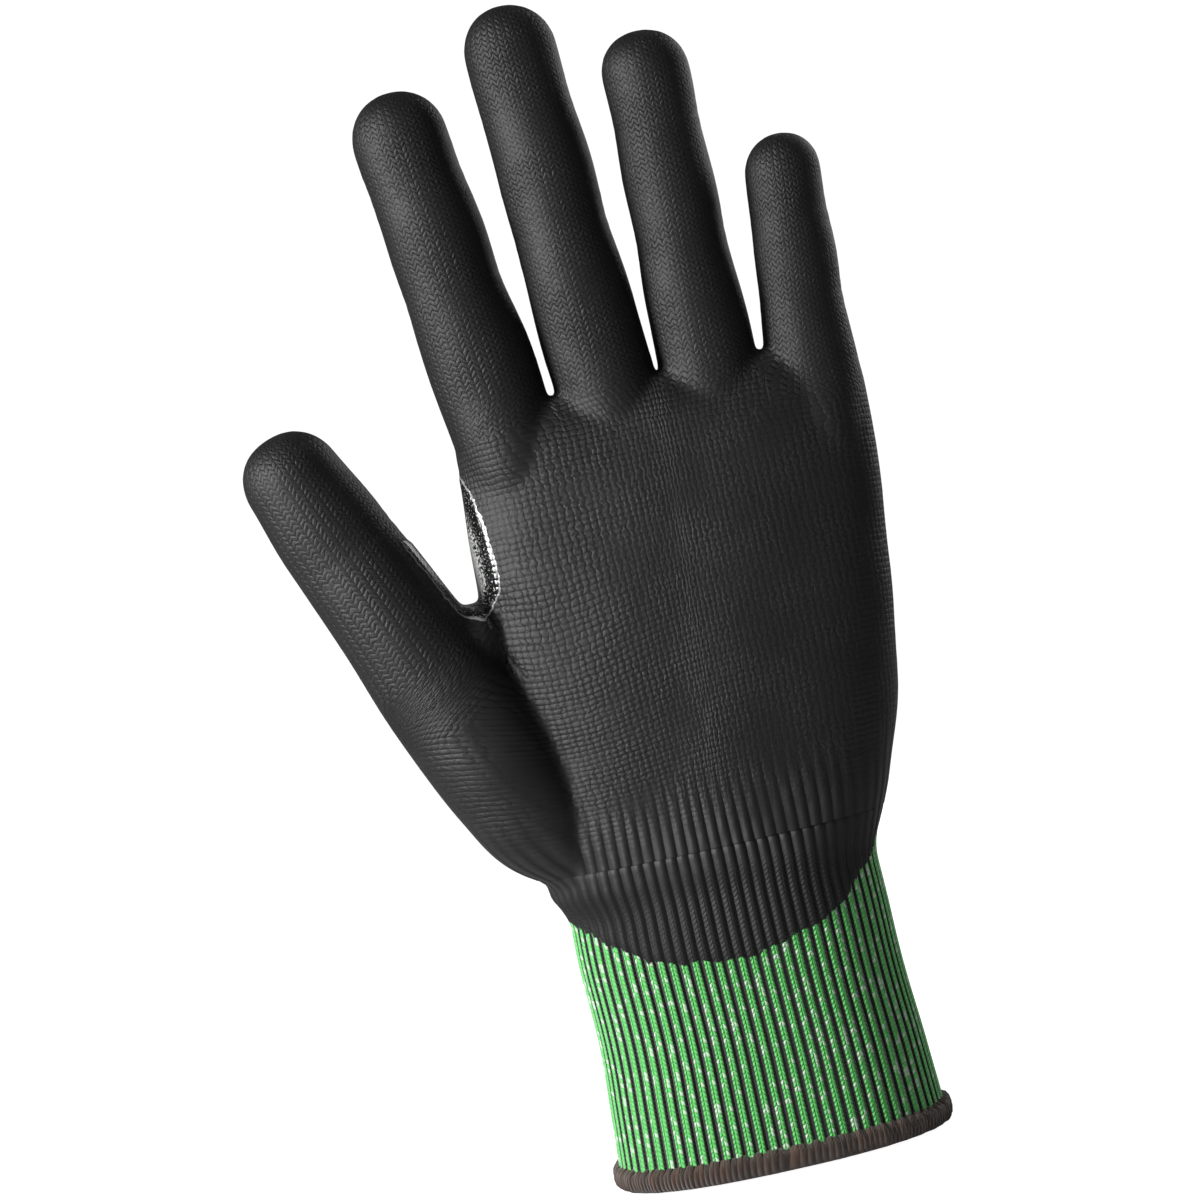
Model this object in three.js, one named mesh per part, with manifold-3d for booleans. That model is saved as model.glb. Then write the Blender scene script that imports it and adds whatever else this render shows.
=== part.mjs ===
// A left-hand cut-resistant work glove, size 9, shaped as if a relaxed flat hand were inside it.
// Millimetres. +Z runs up the hand from the cuff to the fingertips, the palm faces -Y and the
// thumb points to -X. The origin is the centre of the cuff opening, in the plane of the hem's edge.
//
// The glove is a knitted liner with a dipped coating on its palm side, a ribbed cuff with an
// elastic yarn laid into it, an overlocked hem and a reinforcing patch in the thumb crotch.
// Every length that bends at a knuckle is cut there by a V that opens towards the palm, and a
// fold of the same fabric fills the V.
import * as THREE from "three";
import { mergeVertices } from "three/addons/utils/BufferGeometryUtils.js";
import Module from "manifold-3d";

const wasm = await Module();
wasm.setup();

// ---- Driving dimensions --------------------------------------------------------------------
const FAR = 200; // beyond every part
const FINGER_REACH = 24; // how far front and back a finger's V cuts into the hand
const INNER_COLUMN = 12.5; // and how far to each side, for the two inner fingers
const OUTER_COLUMN = 16; // and for the two outer ones
const THUMB_REACH = 40;
const THUMB_COLUMN = 13.4;
const COATING = 0.6; // thickness of the dipped layer
const LINER = 1.0; // thickness of the knit
const GAP = 0.3; // air between two pieces that touch on the real glove
const LINER_OUTSIDE = COATING + GAP; // how far the knit lies under the outer surface
const LINER_INSIDE = LINER_OUTSIDE + LINER;
const CUT = 1.2; // half the slit between two bodies at a knuckle; it also lets them bend back
const SPARE_DEGREES = 2; // how much wider than its travel each V is, on each side

const PALM_SIDES = 28;
const FINGER_SIDES = 12;
const SQUARENESS = 2.4; // of the hand's section; 2 would be an oval
const FACET = 0.02; // triangles closer to flat than this are joined

const HEM_HEIGHT = 5;
const HEM_HALF_WIDTH = 35.8;
const HEM_HALF_DEPTH = 23.2;
const HEM_WALL = 3.4;
const HEM_FLOOR = 1.8; // thread under the rib's edge, which sits in a groove in the hem
const CUFF_HALF_WIDTH = 34.2;
const CUFF_HALF_DEPTH = 21.8;
const WRIST_HEIGHT = 48; // the wrist's hinge runs along X
const WRIST_FLEX = 45;
const WRIST_EXTEND = 40;
const ELASTIC_RADIUS = 0.5;
const ELASTIC_TURNS = 4;
const ELASTIC_FROM = 9;
const ELASTIC_TO = 28;
const ELASTIC_SLACK = 0.7; // air between the yarn and the rib

const KNUCKLE_FLEX = 80;
const MIDDLE_FLEX = 85;
const TIP_FLEX = 55;
const THUMB_BASE_FLEX = 45;
const THUMB_TIP_FLEX = 65;

// Outline of the hand at heights z: centre x and y, half width, half depth.
const HAND = [
  { z: -1, x: 0, y: 0, a: CUFF_HALF_WIDTH + 1.2, b: CUFF_HALF_DEPTH + 0.8 },
  { z: 16, x: 0, y: 0, a: CUFF_HALF_WIDTH, b: CUFF_HALF_DEPTH },
  { z: 40, x: -0.6, y: 0, a: CUFF_HALF_WIDTH - 0.8, b: CUFF_HALF_DEPTH - 0.7 },
  { z: 58, x: -1.2, y: 0, a: CUFF_HALF_WIDTH, b: CUFF_HALF_DEPTH - 1.3 },
  { z: 72, x: 0.4, y: -0.6, a: 37.4, b: 19.4 },
  { z: 88, x: 2.8, y: -1, a: 40.2, b: 18 },
  { z: 108, x: 4.4, y: -1, a: 41.9, b: 16.4 },
  { z: 130, x: 6.2, y: -0.6, a: 42.6, b: 14.6 },
  { z: 156, x: 7.4, y: 0, a: 42.8, b: 12.4 },
];

// Fingers: the knuckle's place, the lean towards the thumb in degrees, the lengths of the three
// phalanges, and the half widths at the knuckle, the two joints and the pad.
const FINGERS = {
  index: { at: [-23, 0, 146], lean: 7.2, bones: [42, 23.5, 20], half: [10.6, 10.4, 10, 9.6] },
  middle: { at: [-1.2, 0, 150], lean: 3.5, bones: [45, 26, 22.5], half: [10, 9.9, 9.6, 9.3] },
  ring: { at: [19.6, 0, 147], lean: -0.3, bones: [41, 24.5, 20], half: [9.8, 9.2, 9, 8.8] },
  little: { at: [39.5, 0, 140], lean: -3.8, bones: [31, 17.5, 17], half: [9.2, 8.5, 8, 7.6] },
};
const FINGER_DEPTH = 0.95; // a finger's depth over its width
const KNUCKLE_DEPTHS = [
  { z: -16, b: 14 },
  { z: 0, b: 12 },
]; // half depth below and at the knuckle, where a finger grows out of the hand

// The thumb: its first hinge, its lean, the roll of its hinges round its own axis, the lengths
// to the tip joint and to the tip, and its outline below, at and above the first hinge.
const THUMB = { at: [-47.2, -6, 107], lean: 23.5, roll: 12, bones: [34.5, 29.5] };
const THUMB_OUTLINE = [
  { z: -46, a: 3, b: 8 },
  { z: -38, a: 9.5, b: 11 },
  { z: -22, a: 13, b: 13.5 },
  { z: 0, a: 13, b: 12.6 },
  { z: 20, a: 12.4, b: 11.8 },
  { z: 36, a: 11.4, b: 10.8 },
  { z: 52, a: 10, b: 9.6 },
];
const THUMB_PAD = 10;

// The reinforcing patch: an oval seen from the palm, centred just above the thumb crotch.
const PATCH = { x: -39.5, z: 137, halfWidth: 9.5, halfHeight: 16.5 };

// The coating's edge: an arc across the wrist that is lowest in the middle, and how far round
// the sides it reaches.
const DIP_LOW = 43.5; // height of the arc's lowest point
const DIP_RADIUS = 42;
const DIP_CENTRE = -1.5;
const DIP_RISE = 21; // from the arc's lowest point to its ends
const DIP_BACK = 5; // the coating stops this far behind the middle plane

const COLOURS = {
  coating: new THREE.MeshStandardMaterial({ color: 0x262726, roughness: 0.62, metalness: 0 }),
  liner: new THREE.MeshStandardMaterial({ color: 0x5fb86a, roughness: 0.9, metalness: 0 }),
  hem: new THREE.MeshStandardMaterial({ color: 0x4a2c1c, roughness: 0.85, metalness: 0 }),
  elastic: new THREE.MeshStandardMaterial({ color: 0x141414, roughness: 0.8, metalness: 0 }),
  patch: new THREE.MeshStandardMaterial({ color: 0xb9b9b7, roughness: 0.3, metalness: 0 }),
};

// ---- Solids --------------------------------------------------------------------------------
const radians = THREE.MathUtils.degToRad;

// A closed three.js geometry as a solid that can be cut and joined.
function solid(geometry) {
  const bare = geometry.clone();
  bare.deleteAttribute("normal");
  bare.deleteAttribute("uv");
  const merged = mergeVertices(bare, 1e-4);
  const triVerts = new Uint32Array(merged.index.array);
  const vertProperties = merged.attributes.position.array;
  return new wasm.Manifold(new wasm.Mesh({ numProp: 3, vertProperties, triVerts }));
}

// A named mesh of a solid, added to a group.
function addMesh(group, name, shape, material) {
  const made = shape.simplify(FACET).getMesh();
  const geometry = new THREE.BufferGeometry();
  geometry.setAttribute("position", new THREE.BufferAttribute(made.vertProperties, 3));
  geometry.setIndex(new THREE.BufferAttribute(made.triVerts, 1));
  geometry.computeVertexNormals();
  const mesh = new THREE.Mesh(geometry, material);
  mesh.name = name;
  group.add(mesh);
  return mesh;
}

// A barrel through oval sections: a cylinder whose rings are moved onto the sections, drawn in
// by inset. Exponents over 2 square the oval off.
function barrel(sections, sides, inset = 0, exponent = 2) {
  const rings = sections.length - 1;
  const geometry = new THREE.CylinderGeometry(1, 1, rings, sides, rings);
  const position = geometry.attributes.position;
  const power = (c) => Math.sign(c) * Math.abs(c) ** (2 / exponent);
  for (let i = 0; i < position.count; i++) {
    const s = sections[Math.round(position.getY(i) + rings / 2)];
    const across = power(position.getX(i)) * (s.a - inset * (s.taper ?? 1));
    const deep = -power(position.getZ(i)) * (s.b - inset * (s.taper ?? 1));
    position.setXYZ(i, (s.x ?? 0) + across, (s.y ?? 0) + deep, s.z - inset * (s.end ?? 0));
  }
  return solid(geometry);
}

// Sections that round a barrel off from height z to the tip, a length r further on.
function roundedTip(z, r, a, b) {
  return [30, 55, 76].map((degrees) => {
    const along = Math.sin(radians(degrees));
    const share = Math.cos(radians(degrees));
    return { z: z + r * along, a: a * share, b: b * share, taper: share, end: along };
  });
}

// A prism along X, from x0 to x1, of an outline given as [y, z] points.
function prism(points, x0, x1) {
  const outline = new THREE.Shape(points.map(([y, z]) => new THREE.Vector2(y, z)));
  const geometry = new THREE.ExtrudeGeometry(outline, { depth: x1 - x0, bevelEnabled: false });
  const turn = new THREE.Matrix4().makeBasis(
    new THREE.Vector3(0, 1, 0),
    new THREE.Vector3(0, 0, 1),
    new THREE.Vector3(1, 0, 0),
  );
  geometry.applyMatrix4(turn);
  geometry.translate(x0, 0, 0);
  return solid(geometry);
}

// The space between two insets of the same barrel.
function shell(sections, outside, inner) {
  return barrel(sections, FINGER_SIDES, outside).subtract(barrel(sections, FINGER_SIDES, inner));
}

// The largest of a solid's separate parts.
function biggest(shape) {
  return shape.decompose().reduce((a, b) => (b.volume() > a.volume() ? b : a));
}

// The same solid, placed by a three.js matrix.
function placed(shape, matrix) {
  return shape.transform(matrix.elements);
}

// ---- Knuckles ------------------------------------------------------------------------------
// A knuckle at height z: how far its V opens in front of the hinge and behind it, as slopes.
function knuckle(z, flex, extend = 0) {
  const slope = (angle) => (angle ? Math.tan(radians(angle / 2 + SPARE_DEGREES)) : 0);
  return { z, front: slope(flex), back: slope(extend) };
}

// The V's upper edge (side 1) or lower edge (side -1) as [y, z] points from y = -reach to reach.
function edge(k, side, reach, slit = CUT) {
  return [
    [-reach, k.z + side * (slit + reach * k.front)],
    [0, k.z + side * slit],
    [reach, k.z + side * (slit + reach * k.back)],
  ];
}

function between(lower, upper, halfWidth) {
  return prism([...lower, ...upper.slice().reverse()], -halfWidth, halfWidth);
}

// Everything above an edge.
function upFrom(lower, halfWidth) {
  const reach = lower[lower.length - 1][0];
  return between(lower, [[-reach, FAR], [reach, FAR]], halfWidth);
}

// The V itself, less the gap to the fabric on each side of it.
function inside(k, reach, halfWidth) {
  const slit = CUT - GAP;
  return between(edge(k, -1, reach, slit), edge(k, 1, reach, slit), halfWidth);
}

// ---- Fingers -------------------------------------------------------------------------------
function fingerFrame(spec) {
  const group = new THREE.Group();
  group.position.set(...spec.at);
  group.rotation.order = "YXZ";
  group.rotation.y = radians(-spec.lean);
  if (spec.roll) group.rotateZ(radians(spec.roll));
  group.updateMatrix();
  return group;
}

function fingerSections(spec) {
  const [proximal, middle, distal] = spec.bones;
  const [knuckleHalf, middleHalf, tipHalf, padHalf] = spec.half;
  const length = proximal + middle + distal;
  const oval = (z, a) => ({ z, a, b: a * FINGER_DEPTH });
  return [
    { z: KNUCKLE_DEPTHS[0].z, a: knuckleHalf, b: KNUCKLE_DEPTHS[0].b },
    { z: KNUCKLE_DEPTHS[1].z, a: knuckleHalf, b: KNUCKLE_DEPTHS[1].b },
    oval(16, knuckleHalf),
    oval(proximal, middleHalf),
    oval(proximal + middle, tipHalf),
    oval(length - padHalf, padHalf),
    ...roundedTip(length - padHalf, padHalf, padHalf, padHalf * FINGER_DEPTH),
  ];
}

// Adds one liner and one coating for each length of a finger, and one fold for each knuckle.
function addFinger(name, group, sections, knuckles, lengths, folds) {
  const linerShell = shell(sections, LINER_OUTSIDE, LINER_INSIDE);
  const coatingShell = shell(sections, 0, COATING);
  const room = Math.max(...sections.map((s) => s.b)) + 1;
  lengths.forEach((part, i) => {
    const next = knuckles[i + 1];
    const start = upFrom(edge(knuckles[i], 1, room), FAR);
    const region = next ? start.subtract(upFrom(edge(next, -1, room), FAR)) : start;
    const coated = next ? region.intersect(palmSide) : region;
    addMesh(group, `${name}_${part}_liner`, linerShell.intersect(region), COLOURS.liner);
    addMesh(group, `${name}_${part}_coating`, coatingShell.intersect(coated), COLOURS.coating);
  });
  folds.forEach((fold, i) => {
    const shape = linerShell.intersect(inside(knuckles[i], room, FAR));
    addMesh(group, `${name}_${fold}_fold`, shape, COLOURS.liner);
  });
  glove.add(group);
}

// ---- Hand ----------------------------------------------------------------------------------
const glove = new THREE.Group();
const palmSide = prism(
  [
    [-FAR, -FAR],
    [DIP_BACK, -FAR],
    [DIP_BACK, FAR],
    [-FAR, FAR],
  ],
  -FAR,
  FAR,
);

// Each finger with the block that its V takes out of the hand.
const fingers = Object.entries(FINGERS).map(([name, spec]) => {
  const group = fingerFrame(spec);
  const [proximal, middle] = spec.bones;
  const knuckles = [
    knuckle(0, KNUCKLE_FLEX),
    knuckle(proximal, MIDDLE_FLEX),
    knuckle(proximal + middle, TIP_FLEX),
  ];
  const halfColumn = name === "index" || name === "little" ? OUTER_COLUMN : INNER_COLUMN;
  const column = upFrom(edge(knuckles[0], -1, FINGER_REACH), halfColumn);
  return { name, spec, group, knuckles, column: placed(column, group.matrix) };
});

const thumbGroup = fingerFrame(THUMB);
const thumbEnd = THUMB_OUTLINE[THUMB_OUTLINE.length - 1];
const thumbSections = [
  ...THUMB_OUTLINE,
  ...roundedTip(THUMB.bones[0] + THUMB.bones[1] - THUMB_PAD, THUMB_PAD, thumbEnd.a, thumbEnd.b),
];
const thumbKnuckles = [knuckle(0, THUMB_BASE_FLEX), knuckle(THUMB.bones[0], THUMB_TIP_FLEX)];
const thumbColumn = placed(
  upFrom(edge(thumbKnuckles[0], -1, THUMB_REACH), THUMB_COLUMN),
  thumbGroup.matrix,
);
const columns = fingers.reduce((sum, finger) => sum.add(finger.column), thumbColumn);

// The outer surface of the hand and of the root of the thumb, drawn in by inset.
function handSolid(inset) {
  const thumb = placed(barrel(thumbSections, FINGER_SIDES, inset), thumbGroup.matrix);
  return barrel(HAND, PALM_SIDES, inset, SQUARENESS).add(thumb);
}

// A disc as seen from the palm, through the hand from front to back.
function disc(halfWidth, halfHeight, x, z, sides) {
  const geometry = new THREE.CylinderGeometry(1, 1, FAR, sides);
  geometry.scale(halfWidth, 1, halfHeight);
  geometry.translate(x, 0, z);
  return solid(geometry);
}

const wrist = knuckle(WRIST_HEIGHT, WRIST_FLEX, WRIST_EXTEND);
const wristReach = CUFF_HALF_DEPTH + 2;
const handRegion = upFrom(edge(wrist, 1, wristReach), FAR).subtract(columns);
const cuffRegion = between(
  [
    [-wristReach, HEM_FLOOR + GAP],
    [wristReach, HEM_FLOOR + GAP],
  ],
  edge(wrist, -1, wristReach),
  FAR,
);
const liner = handSolid(LINER_OUTSIDE).subtract(handSolid(LINER_INSIDE));
const coating = handSolid(0).subtract(handSolid(COATING));

const dip = disc(DIP_RADIUS, DIP_RADIUS, DIP_CENTRE, DIP_LOW + DIP_RADIUS, 48);
const aboveDip = upFrom(
  [
    [-FAR, DIP_LOW + DIP_RISE],
    [FAR, DIP_LOW + DIP_RISE],
  ],
  FAR,
);
const coated = dip.add(aboveDip).intersect(palmSide);
const patchPlace = (grow) => {
  const { halfWidth, halfHeight, x, z } = PATCH;
  return disc(halfWidth + grow, halfHeight + grow, x, z, 24).intersect(palmSide);
};

const cuff = new THREE.Group();
const hand = new THREE.Group();
addMesh(cuff, "cuff_rib", biggest(liner.intersect(cuffRegion)), COLOURS.liner);
addMesh(cuff, "wrist_fold", biggest(liner.intersect(inside(wrist, wristReach, FAR))), COLOURS.liner);
addMesh(hand, "palm_liner", biggest(liner.intersect(handRegion)), COLOURS.liner);
const palmCoating = coating.intersect(handRegion).intersect(coated);
addMesh(hand, "palm_coating", biggest(palmCoating.subtract(patchPlace(GAP))), COLOURS.coating);
addMesh(hand, "crotch_patch", biggest(palmCoating.intersect(patchPlace(0))), COLOURS.patch);

// The hem: a band of overlock thread with a groove on top for the rib's edge.
const hemBand = (inset, from) => {
  const ring = { x: 0, y: 0, a: HEM_HALF_WIDTH - inset, b: HEM_HALF_DEPTH - inset };
  return barrel([{ ...ring, z: from }, { ...ring, z: HEM_HEIGHT }], PALM_SIDES, 0, SQUARENESS);
};
const groove = handSolid(LINER_OUTSIDE - GAP).subtract(handSolid(LINER_INSIDE + GAP));
const hem = hemBand(0, 0).subtract(hemBand(HEM_WALL, -1).add(hemBand(HEM_WALL, HEM_HEIGHT)))
  .subtract(groove.intersect(upFrom([[-FAR, HEM_FLOOR], [FAR, HEM_FLOOR]], FAR)));
addMesh(cuff, "overlock_hem", hem, COLOURS.hem);

// The elastic yarn: a helix lying against the inside of the rib.
class Helix extends THREE.Curve {
  getPoint(t) {
    const angle = t * ELASTIC_TURNS * 2 * Math.PI;
    const inset = LINER_INSIDE + ELASTIC_RADIUS + ELASTIC_SLACK;
    const power = (c) => Math.sign(c) * Math.abs(c) ** (2 / SQUARENESS);
    return new THREE.Vector3(
      power(Math.cos(angle)) * (CUFF_HALF_WIDTH - 0.8 - inset),
      power(Math.sin(angle)) * (CUFF_HALF_DEPTH - 0.7 - inset),
      ELASTIC_FROM + t * (ELASTIC_TO - ELASTIC_FROM),
    );
  }
}
const strand = new THREE.Shape().absarc(0, 0, ELASTIC_RADIUS, 0, 2 * Math.PI);
const elastic = new THREE.ExtrudeGeometry(strand, {
  steps: 16 * ELASTIC_TURNS,
  curveSegments: 3,
  extrudePath: new Helix(),
});
addMesh(cuff, "elastic_yarn", solid(elastic), COLOURS.elastic);
glove.add(cuff, hand);

for (const { name, spec, group, knuckles } of fingers) {
  const folds = ["knuckle", "middle_joint", "tip_joint"];
  const lengths = ["proximal", "middle", "distal"];
  addFinger(name, group, fingerSections(spec), knuckles, lengths, folds);
}
addFinger("thumb", thumbGroup, thumbSections, thumbKnuckles, ["proximal", "distal"], ["base", "tip_joint"]);

export default glove;
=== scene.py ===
"""A left-hand cut-resistant work glove: knitted liner, dipped palm, ribbed cuff, overlocked hem.

The skin of the hand is one smooth surface made from a union of simple forms. It is cut into
capped pieces, one for each length that bends.
Lengths are in millimetres in the constants and tables, and in metres in Blender.
"""
import math

import bmesh
import bpy
import numpy as np
from mathutils import Matrix, Vector
from mathutils.bvhtree import BVHTree


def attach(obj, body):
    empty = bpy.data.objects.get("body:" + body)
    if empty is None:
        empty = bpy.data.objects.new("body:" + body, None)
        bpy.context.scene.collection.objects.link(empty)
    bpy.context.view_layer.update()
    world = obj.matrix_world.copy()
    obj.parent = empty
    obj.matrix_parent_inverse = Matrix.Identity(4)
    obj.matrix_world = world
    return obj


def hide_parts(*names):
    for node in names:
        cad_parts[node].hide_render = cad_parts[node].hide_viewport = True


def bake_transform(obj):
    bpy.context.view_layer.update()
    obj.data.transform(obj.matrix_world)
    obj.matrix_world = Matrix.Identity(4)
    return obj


MM = 0.001

# ---- The frame, and the driving dimensions ---------------------------------------------------
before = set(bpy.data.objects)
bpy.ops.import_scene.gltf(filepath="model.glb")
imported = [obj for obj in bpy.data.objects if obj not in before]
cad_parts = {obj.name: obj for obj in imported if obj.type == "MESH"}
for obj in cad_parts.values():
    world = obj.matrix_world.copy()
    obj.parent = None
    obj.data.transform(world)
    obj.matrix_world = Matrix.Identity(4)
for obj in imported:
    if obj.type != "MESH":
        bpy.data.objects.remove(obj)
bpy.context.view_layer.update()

VOXEL = 0.9  # how finely the skin is rebuilt
SMOOTHING = 9  # rounds of smoothing, which fillet the webs
SQUARENESS = 2.4  # of the palm's section; 2 would be an oval
PALM_SIDES = 96  # points round the palm
FINGER_SIDES = 48  # points round a finger

# Outline of the hand at heights z: centre x and y, half width, half depth.
HAND = [
    (52, -0.9, 0, 33.4, 20.6),
    (60, -1.2, -0.2, 34.2, 20.2),
    (72, 0.4, -0.6, 37.4, 19.4),
    (88, 2.8, -1, 40.2, 18),
    (108, 4.4, -1, 41.9, 16.4),
    (130, 6.2, -0.6, 42.6, 14.6),
    (148, 7.3, 0, 42.8, 12.3),
    (156, 7.4, 0, 42.4, 9.6),
    (162, 7.4, 0, 40.8, 5),
]

# Fingers: knuckle, lean towards the thumb, lengths of the phalanges, half widths along them.
FINGERS = {
    "index": ((-23, 0, 146), 7.2, (42, 23.5, 20), (10.6, 10.8, 10.1, 10.2, 9.7, 9.6)),
    "middle": ((-1.2, 0, 150), 3.5, (45, 26, 22.5), (10.2, 10.2, 9.7, 9.8, 9.3, 9.3)),
    "ring": ((19.6, 0, 147), -0.3, (41, 24.5, 20), (9.9, 9.7, 9.1, 9.2, 8.7, 8.8)),
    "little": ((39.5, 0, 140), -3.8, (31, 17.5, 17), (9.3, 8.9, 8.4, 8.3, 7.8, 7.7)),
}
FINGER_DEPTH = 0.95  # a finger's depth as a share of its width
WEBS = {("index", "middle"): (-13.4, 163), ("middle", "ring"): (9, 165), ("ring", "little"): (30.6, 160)}

# The thumb: first hinge, lean, roll round its own axis, lengths, and its outline.
THUMB = ((-47.2, -6, 107), 23.5, 12, (34.5, 29.5))
THUMB_OUTLINE = [(-46, 4, 8), (-38, 9.5, 11), (-22, 13, 13.5), (0, 13.1, 12.6), (20, 12.2, 11.8),
                 (34.5, 11.3, 10.8), (45, 11.0, 10.2), (54, 10.2, 9.6)]

DIP_LOW = 43.5  # height of the coating's edge in the middle of the wrist
DIP_RISE = 21.5  # how much higher the edge is at the wrist's sides
DIP_HALF_WIDTH = 36.5
DIP_CENTRE = -1.5
DIP_ROUND = 0.92  # how much of a half circle the edge across the wrist takes in
DIP_BACK = 7.0  # how far round the sides the coating reaches
FINGER_DIP_BACK = 4.6  # the same on the fingers
COAT_PROUD = 0.35  # how far the coating stands out from the knit
PRINT_PROUD = 0.3  # how far the print stands out from the coating
FABRIC_SWELL = 0.22  # how much the relaxed fabric undulates

# The print in the thumb crotch, as x and z along its middle line.
PATCH_ROUTE = [(-37.2, 152.5), (-36.0, 137), (-36.6, 127.5), (-39.6, 124.2), (-43.5, 128),
               (-50.5, 139.5)]
PATCH_REACH = 5.2  # how far the print comes round on to the palm side
PATCH_HALF_DEPTH = 9

# Where a finger's skin starts, measured up from its first hinge.
FINGER_ROOT = -13.5
THUMB_ROOT = -11

RIBS = 76
RIB_DEPTH = 0.55
RIB_TOP = 66  # height where the cuff's knit meets the palm's skin
RIB_STEPS = 10  # points across one rib
CUFF_HALF_WIDTH = 33.4
CUFF_HALF_DEPTH = 21.2
CUFF_SHIFT = -0.7  # of the cuff's upper part, towards the thumb
CUFF_WALL = 1.5

HEM_THREADS = 184
HEM_THREAD_STEPS = 7  # points across one thread
HEM_SLANT = 0.09  # how much a thread leans, in threads for each mm of height
HEM_SECTION = [(-0.4, 5.0), (0.35, 4.9), (1.2, 4.5), (1.75, 3.6), (1.95, 2.4), (1.7, 1.1), (1.0, 0.25),
               (0, 0), (-1.0, 0), (-1.7, 0.5), (-2.0, 1.6), (-2.0, 3.2), (-1.5, 4.4)]

# Widths of a knitted stitch and heights of a row, in mm.
LINER_WALE, LINER_COURSE = 1.25, 0.95
FINGER_WALE, FINGER_COURSE = 2.1, 1.2
DIMPLE_WIDTH, DIMPLE_HEIGHT = 1.3, 1.18

GREEN = (0.145, 0.6, 0.155, 1)
# Green with painted shade, for the gaps between the stitches.
GREEN_IN_PAINTED_SHADE = (0.06, 0.36, 0.075, 1)
# Black yarn, also used as painted shade in the cuff's rib valleys.
BLACK_YARN_AND_RIB_SHADE = (0.010, 0.011, 0.010, 1)
WHITE_YARN = (0.72, 0.78, 0.7, 1)
LINING_GREEN = (0.05, 0.16, 0.06, 1)
COATING = (0.0035, 0.0036, 0.0035, 1)
COATING_WORN = (0.012, 0.0122, 0.012, 1)
# Painted reflection on the crotch print; also the colour of its painted glints.
PAINTED_REFLECTION_GREY = (0.42, 0.43, 0.415, 1)
PRINT_BLACK = (0.004, 0.004, 0.004, 1)
# Painted highlight along the crotch print's edge.
PAINTED_EDGE_HIGHLIGHT = (0.22, 0.23, 0.22, 1)
HEM_BROWN = (0.055, 0.024, 0.012, 1)
HEM_DEEP_BROWN = (0.018, 0.008, 0.004, 1)
HEM_SHADOW = (0.012, 0.006, 0.004, 1)
ELASTIC_BLACK = (0.006, 0.006, 0.006, 1)
ELASTIC_GREY = (0.03, 0.03, 0.03, 1)

# Name, place, target (m), size (m) and power (W) of each light.
LIGHTS = [
    ("key", (-0.75, -0.42, 0.42), (-0.01, 0, 0.12), 0.28, 16),
    ("fill", (0.5, -0.9, 0.5), (0, 0, 0.1), 0.7, 0.9),
    ("rim", (0.6, 0.6, 0.45), (0, 0, 0.12), 0.6, 2.5),
]

# The camera, in metres: what it looks at, how far off it is, how much it sees and its roll.
AIM = Vector((-0.01275, 0, 0.1194))
DISTANCE = 0.6
FRAME_WIDTH = 0.2484
ROLL = 12.5


def superellipse(angle, half_width, half_depth, squareness=SQUARENESS):
    """A point on a squared-off oval."""
    c, s = math.cos(angle), math.sin(angle)
    power = 2 / squareness
    return (math.copysign(abs(c) ** power, c) * half_width,
            math.copysign(abs(s) ** power, s) * half_depth)


def along_outline(outline, z):
    """The outline's other values at height z, on a smooth curve through its rows."""
    rows = np.array(outline, float)
    heights = rows[:, 0]
    result = []
    for column in rows[:, 1:].T:
        slopes = np.gradient(column, heights)
        i = int(np.clip(np.searchsorted(heights, z) - 1, 0, len(heights) - 2))
        span = heights[i + 1] - heights[i]
        t = min(max((z - heights[i]) / span, 0), 1)
        h00, h10 = 2 * t**3 - 3 * t**2 + 1, t**3 - 2 * t**2 + t
        h01, h11 = -2 * t**3 + 3 * t**2, t**3 - t**2
        result.append(h00 * column[i] + h10 * span * slopes[i]
                      + h01 * column[i + 1] + h11 * span * slopes[i + 1])
    return result


def local_frame(at, lean, roll=0):
    """The matrix of a finger: Z along it, X across it, -Y towards the palm."""
    return (Matrix.Translation(at) @ Matrix.Rotation(math.radians(-lean), 4, "Y")
            @ Matrix.Rotation(math.radians(roll), 4, "Z"))


def new_object(name, mesh):
    obj = bpy.data.objects.new(name, mesh)
    bpy.context.scene.collection.objects.link(obj)
    return obj


def loft(name, rings, closed_ends=True):
    """A mesh through rings of points (in mm), all with the same number of points."""
    mesh = bpy.data.meshes.new(name)
    bm = bmesh.new()
    rows = [[bm.verts.new(Vector(p) * MM) for p in ring] for ring in rings]
    count = len(rows[0])
    for a, b in zip(rows, rows[1:]):
        for i in range(count):
            j = (i + 1) % count
            bm.faces.new((a[i], a[j], b[j], b[i]))
    if closed_ends:
        bm.faces.new(list(reversed(rows[0])))
        bm.faces.new(rows[-1])
    bm.to_mesh(mesh)
    bm.free()
    return new_object(name, mesh)


# ---- The skin's forms ------------------------------------------------------------------------
def palm_form():
    rings = []
    for z in np.linspace(HAND[0][0], HAND[-1][0], 60):
        x, y, a, b = along_outline(HAND, z)
        rings.append([(x + px, y + py, z) for px, py in
                      (superellipse(2 * math.pi * i / PALM_SIDES, a, b) for i in range(PALM_SIDES))])
    return loft("palm_form", rings)


def finger_rings(matrix, outline, length, pad):
    """Rings along a finger with outline rows (z, half width, half depth) and a round tip."""
    turns = [2 * math.pi * i / FINGER_SIDES for i in range(FINGER_SIDES)]

    def ring(a, b, z):
        return [matrix @ Vector((a * math.cos(t), b * math.sin(t), z)) for t in turns]

    top = length - pad
    rings = [ring(*along_outline(outline, z), z) for z in np.linspace(outline[0][0], top, 60)]
    a, b = along_outline(outline, top)
    for k in range(1, 13):
        angle = math.radians(87) * k / 12
        share = math.cos(angle) ** 0.9
        rings.append(ring(a * share, b * share, top + pad * math.sin(angle)))
    return rings


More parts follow.
